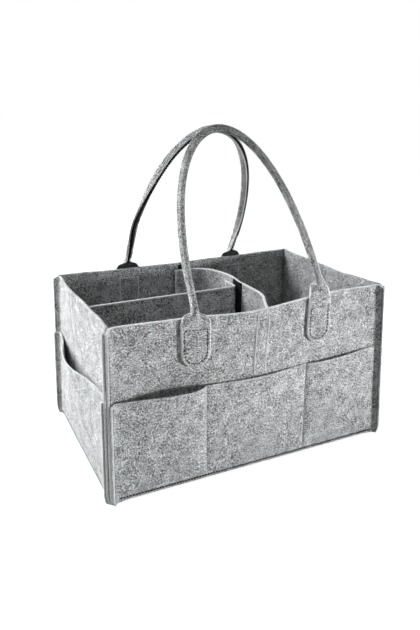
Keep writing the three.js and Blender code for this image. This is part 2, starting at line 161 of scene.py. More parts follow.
# Turns of each grip's fold in degrees: on its legs, on top, and low on the back right leg
STRIP_TWIST = {("front", -1): 20.0, ("front", 1): 82.0, ("back", -1): 44.0, ("back", 1): -15.0}
TOP_TWIST = {"front": 82.0, "back": 0.0}
TOP_TWIST_SPAN = (0.7 * HANDLE_LENGTH, HANDLE_LENGTH)
BACK_LEG_TWIST = 53
BACK_LEG_TWIST_SPAN = (0.3 * HANDLE_LENGTH, 0.75 * HANDLE_LENGTH)
# Depth and thickness of the dark stitches in a grip's slit, which also stand in for the slit's
# shadow as painted shade, and how far those at the back lie aside
SLIT_DEPTH = {"front": 2.0, "back": 0.2}
SLIT_SHADE_THREAD = {"front": 0.8, "back": 1.2}
BACK_SLIT_SHIFT = 1.4

# Dividers and hook tapes
DIVIDER_FELT = 3
DIVIDER_GAP = 0.3
DIVIDER_TAB = 20
DIVIDER_BEND = 6
DIVIDER_FOOT = 6.3
DIVIDER_ROWS = 34
CROSS_TOP = 175
CROSS_FRONT_X = 11
CROSS_BACK_X = 13
# How its curve leaves the front and reaches the back, as steps (right, back) from each corner
CROSS_FRONT_STEPS = ((2.4, DIVIDER_BEND), (28.0, 65.0))
CROSS_BACK_STEPS = ((42.0, -31.0), (9.0, -DIVIDER_BEND))
# The cross divider's own set as (sway, at which depth, over how much depth)
CROSS_SWAYS = ((5.0, -48, 24), (-2.5, 10, 14))
LONG_TOP = 170
LONG_LEFT_Y = 9
LONG_RIGHT_Y = 8
HOOK_FELT = 1.2
HOOK_WIDTH = 16
HOOK_FOOT = 25
HOOK_RIM_GAP = 5
HOOK_ROWS = 50
TAPE_STITCH_INSET = 1.4
TAPE_STITCH_SHIFT = 2.6
TAPE_STITCH_SINK = 0.55
TAPE_THREAD = {"front": 1.05, "back": 0.65, "left": 0.65}
TAPE_PRESS = 0.8
TAPE_PRESS_WIDTH = 1.6
JOIN_HOOK_WIDTH = 22.5
JOIN_HOOK_FRONT = 8
JOIN_HOOK_TOP = CROSS_TOP - 0.5


def smooth(value, low, high):
    share = np.clip((value - low) / (high - low), 0, 1)
    return share * share * (3 - 2 * share)


def unit(vectors):
    return vectors / np.maximum(np.linalg.norm(vectors, axis=-1, keepdims=True), 1e-9)


def height_share(z):
    return np.clip(z / WALL_HEIGHT, 0, 1)


def half_length(z):
    return FLOOR_LENGTH / 2 - END_LEAN * height_share(z)


def half_depth(z):
    return FLOOR_DEPTH / 2 - SIDE_LEAN * height_share(z)


class Wall:
    """One side of the box: the way it runs and faces, how far it stands out and reaches to each
    side, how it bows at the rim, and its soft dents as (along, height, spreads of both, depth)."""

    def __init__(self, run, reach, span, bow, dents):
        self.run, self.face = run, (run[1], -run[0])
        self.reach, self.span, self.bow, self.dents = reach, span, bow, dents

    def place(self, along, out, z):
        along, out, z = np.broadcast_arrays(along, out, z)
        x = self.run[0] * along + self.face[0] * out
        y = self.run[1] * along + self.face[1] * out
        return np.stack([x, y, z], axis=-1)

    def along(self, points):
        return points[..., 0] * self.run[0] + points[..., 1] * self.run[1]

    def across(self, along, z):
        return np.minimum(np.abs(along) / self.span(z), 1)

    def bowed(self, along, z):
        focus = np.cos(np.pi / 2 * self.across(along, z)) ** BOW_FOCUS
        return self.reach(z) + self.bow * focus * height_share(z) ** BOW_RISE

    def middle(self, along, z):
        dent = 0.0
        for at, height, wide, tall, depth in self.dents:
            dent = dent + depth * np.exp(-(((along - at) / wide) ** 2) - ((z - height) / tall) ** 2)
        dent = dent * (1 - self.across(along, z) ** 4) * smooth(z, 0, DENT_RISE)
        return self.bowed(along, z) + dent


FRONT_DENTS = [(-112, 150, 34, 34, 1.2), (112, 140, 36, 36, 1.4)]
RIGHT_DENTS = [(-20, 178, 60, 60, -3.0), (55, 130, 30, 30, 0.8)]
BACK_DENTS = [(-110, 150, 36, 36, 1.2), (108, 150, 36, 36, -1.0)]
LEFT_DENTS = [(-42, 183, 36, 60, 3.2), (62, 183, 28, 50, -0.8)]
WALLS = {
    "front": Wall((1, 0), half_depth, half_length, FRONT_BOW, FRONT_DENTS),
    "right": Wall((0, 1), half_length, half_depth, 0.0, RIGHT_DENTS),
    "back": Wall((-1, 0), half_depth, half_length, BACK_BOW, BACK_DENTS),
    "left": Wall((0, -1), half_length, half_depth, 0.0, LEFT_DENTS),
}


def settle(points):
    """The felt's own set: the rim stands a little higher towards the front right corner."""
    x, y, z = points.T
    share = smooth(x, *RIM_SET_RIGHT) * smooth(-y, *RIM_SET_FRONT)
    rise = np.where(z < WALL_HEIGHT, height_share(z), 1 - smooth(z, *RIM_SET_FADE))
    moved = points.copy()
    moved[:, 2] += RIM_SET * share * rise
    return moved


def mark_points(mesh, name, values):
    layer = mesh.attributes.new(name, "FLOAT", "POINT")
    layer.data.foreach_set("value", np.asarray(values, np.float32).ravel())


def add_object(name, data):
    thing = bpy.data.objects.new(name, data)
    scene.collection.objects.link(thing)
    return thing


def make_piece(name, points, faces, material, edge=None):
    points = settle(points.reshape(-1, 3)) * MM
    mesh = bpy.data.meshes.new(name)
    mesh.from_pydata(points.tolist(), [], [list(face) for face in faces])
    mesh.polygons.foreach_set("use_smooth", [True] * len(mesh.polygons))
    # The edge marks paint raw edges pale: partly the cut felt's own paler tone, partly a painted
    # highlight.
    if edge is not None:
        mark_points(mesh, "pale_cut_and_highlight", edge)
    mesh.materials.append(material)
    return add_object(name, mesh)


def tube_faces(rings, sides):
    """The faces of a tube over rings of numbered points, with flat ends."""
    number = np.arange(rings * sides).reshape(rings, sides)
    near, far = number[:-1], number[1:]
    faces = np.stack([near, np.roll(near, -1, 1), np.roll(far, -1, 1), far], -1).reshape(-1, 4)
    return [*faces.tolist(), number[0, ::-1].tolist(), number[-1].tolist()]


def sheet_mesh(grid, felt, edge=FELT_EDGE, top_mark=1.0, side_mark=1.0):
    """A closed sheet about a grid of points, with round raw edges: points, faces, and edge marks
    that paint those edges pale, partly the felt's own tone and partly a painted highlight.
    """
    rows, columns = grid.shape[:2]
    normal = unit(np.cross(np.gradient(grid, axis=1), np.gradient(grid, axis=0)))
    size = rows * columns
    number = np.arange(size).reshape(rows, columns)
    up, over = np.arange(rows), np.arange(columns)
    j = np.concatenate([np.full(columns, 0), up[1:], np.full(columns - 1, rows - 1), up[-2:0:-1]])
    i = np.concatenate([over, np.full(rows - 1, columns - 1), over[-2::-1], np.full(rows - 2, 0)])
    border, border_normal, rim = grid[j, i], normal[j, i], number[j, i]
    outward = border - grid[np.clip(j, 1, rows - 2), np.clip(i, 1, columns - 2)]
    outward = unit(outward - (outward * border_normal).sum(-1, keepdims=True) * border_normal)
    half = normal * felt / 2
    points = [(grid + half).reshape(-1, 3), (grid - half).reshape(-1, 3)]
    marks = [np.zeros(size), np.zeros(size)]
    upper_mark = np.where((i == 0) | (i == columns - 1), side_mark, top_mark)
    border_mark = np.where(j == 0, 0.0, upper_mark)
    for side in marks:
        side[rim] = EDGE_FADE * border_mark
    loops = [rim]
    for turn in (math.pi / 4, 0.0, -math.pi / 4):
        loops.append(2 * size + (len(loops) - 1) * len(j) + np.arange(len(j)))
        rounding = outward * edge * math.cos(turn)
        points.append(border + rounding + border_normal * felt / 2 * math.sin(turn))
        marks.append(border_mark)
    loops.append(rim + size)
    low, high = number[:-1], number[1:]
    quads = np.stack([low[:, :-1], low[:, 1:], high[:, 1:], high[:, :-1]], -1).reshape(-1, 4)
    faces = [quads, quads[:, ::-1] + size]
    for near, far in zip(loops, loops[1:]):
        faces.append(np.stack([near, far, np.roll(far, -1), np.roll(near, -1)], -1))
    return np.concatenate(points), np.concatenate(faces), np.concatenate(marks)


def run_reach(path):
    """How far along a line each of its points lies."""
    return np.concatenate([[0], np.cumsum(np.linalg.norm(np.diff(path, axis=0), axis=1))])


def sample(values, reach, at):
    return np.stack([np.interp(at, reach, column) for column in values.T], -1)


STITCH_SIDES = 6
# Along one stitch: steps as shares of its length, heights and girths as shares of its radius
STITCH_STEPS = np.array([-0.5, -0.38, -0.15, 0.15, 0.38, 0.5])
STITCH_HEIGHTS = np.array([-0.75, 0.05, 0.45, 0.45, 0.05, -0.75])
STITCH_GIRTHS = np.array([0.5, 0.9, 1.0, 1.0, 0.9, 0.5])
stitches = {}


def sew(name, runs, material, pitch=3.1, length=2.3, radius=0.42):
    """One piece of separate stitches along runs of (points, normals)."""
    angles = np.arange(STITCH_SIDES) * 2 * np.pi / STITCH_SIDES
    girths = (STITCH_GIRTHS * radius)[:, None]
    points, faces = [], []
    for path, normals in runs:
        reach = run_reach(path)
        count = max(int(reach[-1] // pitch), 1)
        centres = (np.arange(count) + 0.5) * reach[-1] / count
        at = centres[:, None] + (STITCH_STEPS * length)[None, :]
        line = sample(path, reach, at)
        normal = unit(sample(normals, reach, at))
        tangent = unit(np.gradient(line, axis=1))
        side = unit(np.cross(normal, tangent))
        line = line + normal * (STITCH_HEIGHTS * radius)[None, :, None]
        ring = (
            line[:, :, None]
            + side[:, :, None] * (girths * np.cos(angles))[None, :, :, None]
            + normal[:, :, None] * (girths * np.sin(angles))[None, :, :, None]
        )
        start = sum(len(p) for p in points)
        points.append(ring.reshape(-1, 3))
        number = start + np.arange(ring[..., 0].size).reshape(ring.shape[:3])
        near, far = number[:, :-1], number[:, 1:]
        quads = np.stack([near, np.roll(near, -1, 2), np.roll(far, -1, 2), far], -1)
        faces.extend(quads.reshape(-1, 4).tolist())
        faces.extend(number[:, -1].tolist())
        faces.extend(number[:, 0, ::-1].tolist())
    stitches[name] = make_piece(f"{name}_stitches", np.concatenate(points), faces, material)


# Materials
FELT_TONE = (0.415, 0.425, 0.43)
# The felt's grain as (scale, weight) of round noise, and (stretch, turn) of its long fibres
FELT_GRAIN = ((1300, 0.69), (430, 0.12), (75, 0.11))
FELT_FIBRES = (
    ((210, 1500, 1500), (0.5, 0.3, 0.9)),
    ((1500, 1500, 210), (-0.6, 0.4, 0.2)),
    ((1500, 210, 1500), (0.3, -0.8, 0.5)),
)
FIBRE_WEIGHT = 0.08
HEATHER_STOPS = ((0.509, 0.02), (0.549, 0.3), (0.589, 1.12), (0.634, 2.3))
# Raw edges are lightened towards white: partly the cut felt's own paler tone, partly a painted
# highlight
EDGE_COVER = 0.75
EDGE_PALE = 2.2
# How dark the inside of a grip's fold is painted: painted shade
FOLD_SHADE_DARK = 0.94


def new_material(name, roughness, sheen):
    material = bpy.data.materials.new(name)
    material.use_nodes = True
    shader = material.node_tree.nodes["Principled BSDF"]
    shader.inputs["Roughness"].default_value = roughness
    shader.inputs["Specular IOR Level"].default_value = 0.15
    shader.inputs["Sheen Weight"].default_value = sheen
    shader.inputs["Sheen Roughness"].default_value = 0.6
    return material, material.node_tree, shader


def fill(tree, socket, value):
    if isinstance(value, bpy.types.NodeSocket):
        tree.links.new(value, socket)
    else:
        socket.default_value = value


def add_node(tree, kind, **values):
    """A new node, with its properties set and its sockets filled by name."""
    node = tree.nodes.new(f"ShaderNode{kind}")
    for name, value in values.items():
        if hasattr(node, name):
            setattr(node, name, value)
        else:
            fill(tree, node.inputs[name], value)
    return node


def add_math(tree, operation, first, second, kind=""):
    node = add_node(tree, f"{kind}Math", operation=operation)
    fill(tree, node.inputs[0], first)
    fill(tree, node.inputs["Scale" if operation == "SCALE" else 1], second)
    return node.outputs[0]


def add_ramp(tree, value, stops):
    """A ramp of colours over a value, from stops of (position, colour)."""
    node = add_node(tree, "ValToRGB", Fac=value)
    while len(node.color_ramp.elements) < len(stops):
        node.color_ramp.elements.new(0.5)
    for element, (position, colour) in zip(node.color_ramp.elements, stops):
        element.position = position
        element.color = (*colour, 1)
    return node.outputs["Color"]


def tone_ramp(tree, value, tone, low, high):
    shades = [[channel * level for channel in tone] for level in (low, high)]
    return add_ramp(tree, value, list(enumerate(shades)))


def add_bump(tree, shader, **values):
    bump = add_node(tree, "Bump", **values)
    tree.links.new(bump.outputs[0], shader.inputs["Normal"])


def object_coords(tree):
    return add_node(tree, "TexCoord").outputs["Object"]


def felt_material(name, tone, seed):
    """Heathered needle felt, paler along raw edges, partly its own tone and partly a painted
    highlight, and painted nearly black inside a grip's fold as painted shade.
    """
    material, tree, shader = new_material(name, 0.95, 0.12)
    shift = (seed, 0.37 * seed, 0.71 * seed)
    coords = add_math(tree, "ADD", object_coords(tree), shift, "Vector")

    def noise(scale, stretch=None, turn=None):
        source = coords
        if stretch:
            mapped = add_node(tree, "Mapping", Vector=coords, Rotation=turn, Scale=stretch)
            source = mapped.outputs[0]
        node = add_node(tree, "TexNoise", Vector=source, Scale=scale, Detail=2, Roughness=0.6)
        return node.outputs["Fac"]

    def mark(name):
        return add_node(tree, "Attribute", attribute_name=name).outputs["Fac"]

    def all_but(share, value):
        return add_math(tree, "SUBTRACT", 1.0, add_math(tree, "MULTIPLY", value, share))

    grain = [(noise(scale), weight) for scale, weight in FELT_GRAIN]
    grain += [(noise(1.0, *fibre), FIBRE_WEIGHT) for fibre in FELT_FIBRES]
    blend = add_math(tree, "MULTIPLY", *grain[0])
    for layer in grain[1:]:
        blend = add_math(tree, "ADD", blend, add_math(tree, "MULTIPLY", *layer))
    heather = add_ramp(tree, blend, [(position, [level] * 3) for position, level in HEATHER_STOPS])
    # Painted highlight on the raw edges, together with the cut felt's own paler tone
    edge = mark("pale_cut_and_highlight")
    colour = add_math(tree, "SCALE", heather, all_but(EDGE_COVER, edge), "Vector")
    colour = add_math(tree, "ADD", colour, add_math(tree, "MULTIPLY", edge, EDGE_PALE), "Vector")
    colour = add_math(tree, "MULTIPLY", colour, tone, "Vector")
    # Painted shade: the inside of a grip's fold is darkened nearly to black
    colour = add_math(tree, "SCALE", colour, all_but(FOLD_SHADE_DARK, mark("fold_inside_shade")), "Vector")
    tree.links.new(colour, shader.inputs["Base Color"])
    add_bump(tree, shader, Height=blend, Strength=0.5, Distance=0.0009)
    return material


def thread_material(name, tone, low=0.6, high=1.25):
    """Spun thread: fine twisted plies with small changes of tone."""
    material, tree, shader = new_material(name, 0.8, 0.0)
    coords = object_coords(tree)
    wave = add_node(tree, "TexWave", Vector=coords, Scale=900, Distortion=2.0)
    colour = tone_ramp(tree, wave.outputs["Fac"], tone, low, high)
    tree.links.new(colour, shader.inputs["Base Color"])
    return material


def tape_material(name, tone):
    """Black woven tape with a bed of tiny hooks."""
    material, tree, shader = new_material(name, 0.75, 0.0)
    coords = object_coords(tree)
    hooks = add_node(tree, "TexVoronoi", Vector=coords, Scale=750, Randomness=0.35)
    height = hooks.outputs["Distance"]
    colour = tone_ramp(tree, height, tone, 1.9, 0.6)
    tree.links.new(colour, shader.inputs["Base Color"])
    add_bump(tree, shader, Height=height, Strength=0.6, Distance=0.0006, invert=True)
    return material


wall_felt = felt_material("wall_felt", FELT_TONE, 0.0)
pocket_felt = felt_material("pocket_felt", FELT_TONE, 1.3)
handle_felt = felt_material("handle_felt", (0.405, 0.415, 0.42), 2.9)
divider_felt = felt_material("divider_felt", FELT_TONE, 4.1)
dark_thread = thread_material("dark_thread", (0.035, 0.035, 0.04))
grey_thread = thread_material("grey_thread", (0.22, 0.22, 0.23))
pale_thread = thread_material("pale_thread", (0.92, 0.93, 0.94), 0.88, 1.0)
hook_tape = tape_material("hook_tape", (0.006, 0.006, 0.007))

# Walls and pockets: each layer runs from a corner seam along the wall to the other corner seam
BEND_INSET = SEAM_BEND * (math.sqrt(2) - 1) + (WALL_FELT + SEWN_GAP) / math.sqrt(2)
POCKET_OFFSET = WALL_FELT / 2 + SEWN_GAP + POCKET_FELT / 2
POCKET_FACE = POCKET_OFFSET + POCKET_FELT / 2
FIN_STEPS = 4
BEND_STEPS = 6
BEND_SHARE = 0.4
CLOSE_COLUMNS = np.arange(-5.4, 5.5, 0.9)


def layer_columns(shares):
    """Columns of a layer as (end, turn, straight, share): end is 0 along the wall itself."""
    fin = [(1 - k / FIN_STEPS) * (SEAM_ALLOWANCE - FELT_EDGE) for k in range(FIN_STEPS)]
    seam = [(math.pi / 4, straight) for straight in fin]
    seam += [(math.pi / 4 * (1 - k / BEND_STEPS), 0.0) for k in range(BEND_STEPS + 1)]
    columns = [(-1, turn, straight, -1.0) for turn, straight in seam]
    columns += [(0, 0.0, 0.0, share) for share in shares]
    columns += [(1, turn, straight, 1.0) for turn, straight in reversed(seam)]
    return np.array(columns).T


def wall_span(wall, z):
    return wall.span(z) - BEND_INSET


def foot_tuck(z, share=0.0):
    """How far the felt turns in under itself at the foot, away from the corner seams."""
    tuck = FOOT_TUCK * (1 - np.clip(z / FOOT_TURN, 0, 1)) ** FOOT_CURL
    return tuck * (1 - smooth(np.abs(share), FOOT_CORNER, 1))


def swollen(swell, wall, along, z):
    return swell(wall, along, z) * (z / POCKET_HEIGHT) ** POCKET_FLARE


def layer_grid(wall, columns, z, offset, swell=None):
    end, turn, straight, share = columns
    radius = SEAM_BEND - offset
    taper = (1 - np.clip(z / SEAM_TAPER_HEIGHT, 0, 1)) ** SEAM_TAPER_CURVE
    straight = straight * (1 - SEAM_TAPER * taper)
    tip = straight / math.sqrt(2)
    splay = SEAM_SPLAY + LAYER_SPLAY * offset
    splay = splay * (straight / SEAM_ALLOWANCE) ** 2 / math.sqrt(2)
    seam_along = end * (wall_span(wall, z) + radius * np.sin(turn) + tip - splay)
    seam_out = wall.reach(z) + SEAM_BEND - radius * np.cos(turn) + tip + splay
    along = share * wall_span(wall, z)
    out = wall.middle(along, z) + offset
    if swell is not None:
        out = out + swollen(swell, wall, along, z)
    out = out - foot_tuck(z, share)
    on_wall = end == 0
    return wall.place(np.where(on_wall, along, seam_along), np.where(on_wall, out, seam_out), z)


def layer_heights(top, rows):
    """Heights of a layer's rows, with the last two close together at its raw top edge."""
    levels = np.linspace(0, 1, rows)[:, None]
    heights = LAYER_FOOT + levels * (top[None, :] - EDGE_ROW - LAYER_FOOT)
    return np.concatenate([heights, top[None, :]])


def seam_share(columns):
    """How far out along its corner seam a column lies: 0 on the wall and 1 at the cut edge."""
    end, turn, straight, _ = columns
    fin = straight / (SEAM_ALLOWANCE - FELT_EDGE)
    return np.where(end == 0, 0, BEND_SHARE * turn / (math.pi / 4) + (1 - BEND_SHARE) * fin)


def rim_wave(share, phase):
    return sum(rise * np.sin(turns * share + k * phase) for rise, turns, k in RIM_WAVES)


def wall_shares(wall, count, lines, z):
    """Evenly spread columns, with closer ones beside sewn lines."""
    close = [(line + step) / wall_span(wall, z) for line in lines for step in CLOSE_COLUMNS]
    return np.unique(np.concatenate([np.linspace(-1, 1, count + 1)[1:-1], close]))


def press(points, grid, wall, lines, span, depth, width):
    """Pull the outer face of a layer in along sewn upright lines."""
    outer = points[: grid[..., 0].size]
    along, z = wall.along(outer), outer[:, 2]
    low, high = span
    fade = smooth(z, low, low + PRESS_FADE) * (1 - smooth(z, high, high + PRESS_FADE))
    for line in lines:
        pull = depth * fade * np.exp(-(np.abs(along - line) / width) ** PRESS_SHARPNESS)
        outer[:, :2] -= pull[:, None] * np.array(wall.face)


def hollow_mouth(grid, wall):
    """Press a long wall in behind its slack left pocket."""
    across = (wall.along(grid) - MOUTH_CENTRE[0]) / MOUTH_REACH[0]
    upwards = (grid[..., 2] - MOUTH_CENTRE[1]) / MOUTH_REACH[1]
    hollow = MOUTH_HOLLOW * np.exp(-(across**2) - upwards**2)
    grid[..., :2] -= hollow[..., None] * np.array(wall.face)


TAPE_CENTRES = {
    "front": CROSS_FRONT_X - DIVIDER_BEND - HOOK_WIDTH / 8,
    "back": -(CROSS_BACK_X - DIVIDER_BEND - 0.375 * HOOK_WIDTH),
    "left": -(LONG_LEFT_Y + DIVIDER_BEND + HOOK_WIDTH / 2),
}


def tape_lines(name):
    """Where the two rows of stitches of a wall's hook tape show on its outside."""
    if name not in TAPE_CENTRES:
        return ()
    centre = TAPE_CENTRES[name] - TAPE_STITCH_SHIFT
    return [centre + side * (HOOK_WIDTH / 2 - TAPE_STITCH_INSET) for side in (-1, 1)]


WALL_COLUMNS = {"front": 96, "back": 96, "left": 62, "right": 62}
WALL_ROWS = 46
POCKET_COLUMNS = 120
POCKET_ROWS = 30
# Painted highlight on raw edges: strong on the rims that catch the light, weak on those in shade,
# and set alike for the seam fins and pocket lips
RIM_HIGHLIGHTS = {"front": 0.95, "right": 0.1, "back": 0.15, "left": 0.4}
SEAM_MARK = 0.75
LIP_MARK = 0.3
walls = {}
for phase, (name, wall) in enumerate(WALLS.items()):
    lines = tape_lines(name)
    columns = layer_columns(wall_shares(wall, WALL_COLUMNS[name], lines, WALL_HEIGHT))
    top = WALL_HEIGHT - FELT_EDGE + rim_wave(columns[3], phase) * (1 - seam_share(columns))
    top = top - SEAM_DROP * smooth(columns[2], 0, SEAM_DROP_SHARE * SEAM_ALLOWANCE)
    grid = layer_grid(wall, columns, layer_heights(top, WALL_ROWS), 0.0)
    if name in LONG_SIDES:
        hollow_mouth(grid, wall)
    points, faces, marks = sheet_mesh(grid, WALL_FELT, FELT_EDGE, RIM_HIGHLIGHTS[name], SEAM_MARK)
    press(points, grid, wall, lines, (HOOK_FOOT, WALL_HEIGHT), TAPE_PRESS, TAPE_PRESS_WIDTH)
    walls[name] = make_piece(f"{name}_wall", points, faces, wall_felt, marks)


def swell_shape(share, peak):
    share = np.clip(share, 1e-6, 1 - 1e-6)
    return np.sin(np.pi * share ** (math.log(0.5) / math.log(peak))) ** 2


def slack_shape(share):
    """A slack pocket across its width: rising slowly from the corner, pinched in at the seam."""
    rise = np.sin(np.pi / 2 * np.clip(share / SIDE_POCKET_PEAK, 0, 1)) ** SLACK_RISE
    fall = np.clip((share - SIDE_POCKET_PEAK) / (1 - SIDE_POCKET_PEAK), 0, 1)
    return rise * (1 - fall**SLACK_FALL)


def side_swell(wall, along, z):
    outer = wall_span(wall, z) - POCKET_SEAM
    share = (along + POCKET_SEAM) / (2 * POCKET_SEAM)
    middle = MIDDLE_POCKET_SWELL * swell_shape(share, 0.5)
    fullness = np.where(along < 0, LEFT_POCKET_SWELL, RIGHT_POCKET_SWELL)
    side = fullness * slack_shape((wall_span(wall, z) - np.abs(along)) / outer)
    return np.where(np.abs(along) < POCKET_SEAM, middle, side)


def end_swell(wall, along, z):
    towards_back = along * np.sign(wall.run[1])
    share = (towards_back + wall_span(wall, z)) / (2 * wall_span(wall, z))
    return END_POCKET_SWELL * swell_shape(share, END_POCKET_PEAK)


SWELLS = {"front": side_swell, "back": side_swell, "left": end_swell, "right": end_swell}


def lip_height(name, along):
    """The pocket's lip: level along the sides, rising by one corner, and sagging at the ends."""
    if name in LONG_SIDES:
        rise = LIP_RISE if name == "front" else 0.0
        return POCKET_HEIGHT + rise * smooth(along, *LIP_RISE_SPAN)
    sag = END_POCKET_SAG * end_swell(WALLS[name], along, POCKET_HEIGHT) / END_POCKET_SWELL
    return POCKET_HEIGHT + END_POCKET_RISE - sag


pockets = {}
for name, wall in WALLS.items():
    lines = (-POCKET_SEAM, POCKET_SEAM) if name in LONG_SIDES else ()
    columns = layer_columns(wall_shares(wall, POCKET_COLUMNS, lines, POCKET_HEIGHT / 2))
    top = lip_height(name, columns[3] * wall_span(wall, POCKET_HEIGHT)) - FELT_EDGE
    heights = layer_heights(top, POCKET_ROWS)
    grid = layer_grid(wall, columns, heights, POCKET_OFFSET, SWELLS[name])
    points, faces, marks = sheet_mesh(grid, POCKET_FELT, POCKET_EDGE, LIP_MARK, SEAM_MARK)
    span = (POCKET_SEAM_FOOT, POCKET_HEIGHT)
    press(points, grid, wall, lines, span, SEAM_PRESS, SEAM_PRESS_WIDTH)
    pockets[name] = make_piece(f"{name}_pocket_felt", points, faces, pocket_felt, marks)

# The floor and its turned-up edge, as (height, inset) from its underside to its upper face
FLOOR_PROFILE = [
    (0.0, 1.2), (0.35, 0.35), (1.2, 0.0), (5.0, 0.0), (5.7, 0.4), (6.0, 1.5), (5.7, 2.6),
    (5.0, 3.0), (4.0, 3.1), (3.3, 3.6), (3.0, 4.6), (3.0, 14.0), (2.9, 40.0), (2.9, 80.0),
]
CORNER_STEPS = 6


def floor_ring(z, inset):
    margin = WALL_FELT / 2 + SEWN_GAP + inset + foot_tuck(z)
    half_x, half_y = half_length(z) - margin, half_depth(z) - margin
    radius = max(FLOOR_CORNER - inset, 2.0)
    ring = []
    for corner, (sign_x, sign_y) in enumerate(((1, 1), (-1, 1), (-1, -1), (1, -1))):
        for step in range(CORNER_STEPS + 1):
            angle = math.pi / 2 * (corner + step / CORNER_STEPS)
            x = sign_x * (half_x - radius) + radius * math.cos(angle)
            y = sign_y * (half_y - radius) + radius * math.sin(angle)
            ring.append((x, y, z))
    return ring


rings = np.array([floor_ring(z, inset) for z, inset in FLOOR_PROFILE])
marks = np.zeros(rings.shape[:2])
floor_felt = make_piece("floor_felt", rings, tube_faces(*marks.shape), wall_felt, marks)

# Handles: one felt strip each, flat and round-ended on the wall, and folded double above it.
HINGE_Z = WALL_HEIGHT + NECK_RISE
TAB_OFFSET = WALL_FELT / 2 + SEWN_GAP + TAB_FELT / 2
FOLD_HALF = FOLD_RADIUS * FOLD_TURN / 2
# Each neck: heights over the rim where the tab narrows and where the strip folds, the curves of its
# outer and inner shoulders, heights over the hinge where the fold turns aside, and how far the fold
# stays open above the neck
Neck = namedtuple("Neck", "narrows folds outer inner turns opens")
NECKS = {
    ("front", -1): Neck((-8.0, 4.5), (-2.5, 5.0), 2.2, 2.2, (11.0, 66.0), 0.0),
    ("front", 1): Neck((-4.0, 15.0), (3.0, 22.0), 1.0, 1.6, (0.0, 16.2), 0.0),
    ("back", -1): Neck((-2.0, 8.0), (3.5, 9.5), 1.3, 1.3, (11.0, 66.0), 0.0),
    ("back", 1): Neck((-2.0, 8.0), (3.5, 9.5), 1.3, 1.3, (11.0, 66.0), 0.1),
}
SAMPLES = 27
# Heights over the rim between which the front right neck's outer edge carries a painted highlight
NECK_HIGHLIGHT_FROM = (-4, 4)
NECK_HIGHLIGHT_TO = (26, 42)
# Heights where an open fold starts and closes, and where the back right leg's edges take a painted
# highlight
OPENS_FROM = (HINGE_Z, HINGE_Z + 10)
OPENS_TO = (HINGE_Z + 35, HINGE_Z + 95)
BACK_LEG_PALE = (HINGE_Z + 50, HINGE_Z + 90)
# Painted highlight on each front leg's raw edges
FRONT_LEG_PALE = {-1: 0.3, 1: 1.0}


def tab_middle(wall, along, centre, z):
    flatten = np.clip((z - WALL_HEIGHT) / NECK_RISE, 0, 1)
    return wall.middle(along + (centre - along) * flatten, z) + TAB_OFFSET


def strip_halves(neck, z):
    """The strip's cut width on each side of its middle: round end, straight sides, shoulder."""
    half = TAB_WIDTH / 2
    round_z = WALL_HEIGHT - TAB_DROP + half
    if z < round_z:
        half = math.sqrt(max(half**2 - (round_z - z) ** 2, TAB_TIP_SQUARE))
        return half, half
    low, high = neck.narrows
    share = min(max((z - WALL_HEIGHT - low) / (high - low), 0.0), 1.0)
    return tuple(half + (STRIP_HALF - half) * share**k for k in (neck.outer, neck.inner))


def strip_section(halves, fold, felt, pale=(1.0, 1.0)):
    """The strip's folded section as points (in the arch's plane, out of it), and its edge marks,
    the painted highlight on its raw edges.
    """
    turn = FOLD_TURN * fold
    s = np.linspace(halves[0], -halves[1], SAMPLES)
    bend = np.clip(s / FOLD_HALF, -1, 1) * turn / 2
    curl = max(turn / (2 * FOLD_HALF), 1e-6)
    inside = np.clip(s, -FOLD_HALF, FOLD_HALF)
    beyond = s - inside
    p = np.sin(curl * inside) / curl + beyond * np.cos(turn / 2)
    q = -(1 - np.cos(curl * inside)) / curl - np.abs(beyond) * np.sin(turn / 2)
    line = np.stack([p, q], -1)
    normal = np.stack([np.sin(bend), np.cos(bend)], -1)
    along = np.stack([np.cos(bend), -np.sin(bend)], -1)
    outer, inner = line + normal * felt / 2, line - normal * felt / 2
    rounds = []
    for index, sign, turns in ((-1, -1, (1, 0, -1)), (0, 1, (-1, 0, 1))):
        rounds.append([
            line[index] + sign * along[index] * FELT_EDGE * math.cos(k * math.pi / 4)
            + normal[index] * felt / 2 * math.sin(k * math.pi / 4)
            for k in turns
        ])
    points = np.concatenate([outer, rounds[0], inner[::-1], rounds[1]])
    shift = fold * (FOLD_RADIUS + STRIP_HALF - FOLD_HALF - felt / 2 + FELT_EDGE) / 2
    marks = np.zeros(len(points))
    marks[-3:], marks[0] = pale[0], FOLD_EDGE_FADE * pale[0]
    marks[SAMPLES:SAMPLES + 3] = pale[1]
    marks[SAMPLES - 1] = FOLD_EDGE_FADE * pale[1]
    return points + [0, shift], marks


neck_out = {
    name: float(tab_middle(WALLS[name], TAB_SPREAD, TAB_SPREAD, HINGE_Z)) for name in LONG_SIDES
}
neck_to_meeting = (neck_out["front"] + neck_out["back"] - GRIP_WIDTH - HANDLES_APART) / 2
handle_lean = math.asin(neck_to_meeting / HANDLE_LENGTH)


def stitch_loop(step=0.8):
    """The closed line of stitches on a tab, as close points of (across, height)."""
    half = TAB_WIDTH / 2 - TAB_STITCH_INSET
    top = WALL_HEIGHT - TAB_STITCH_DROP
    round_z = WALL_HEIGHT - TAB_DROP + TAB_WIDTH / 2
    turns = np.linspace(0, -math.pi, 25)
    arc = np.stack([half * np.cos(turns), round_z + half * np.sin(turns)], -1)
    top_line = np.stack([np.linspace(-half, half, 9), np.full(9, top)], -1)
    line = np.concatenate([top_line, arc, top_line[:1]])
    reach = run_reach(line)
    return sample(line, reach, np.linspace(0, reach[-1], max(int(reach[-1] / step), 2)))


STITCH_LOOP = stitch_loop()


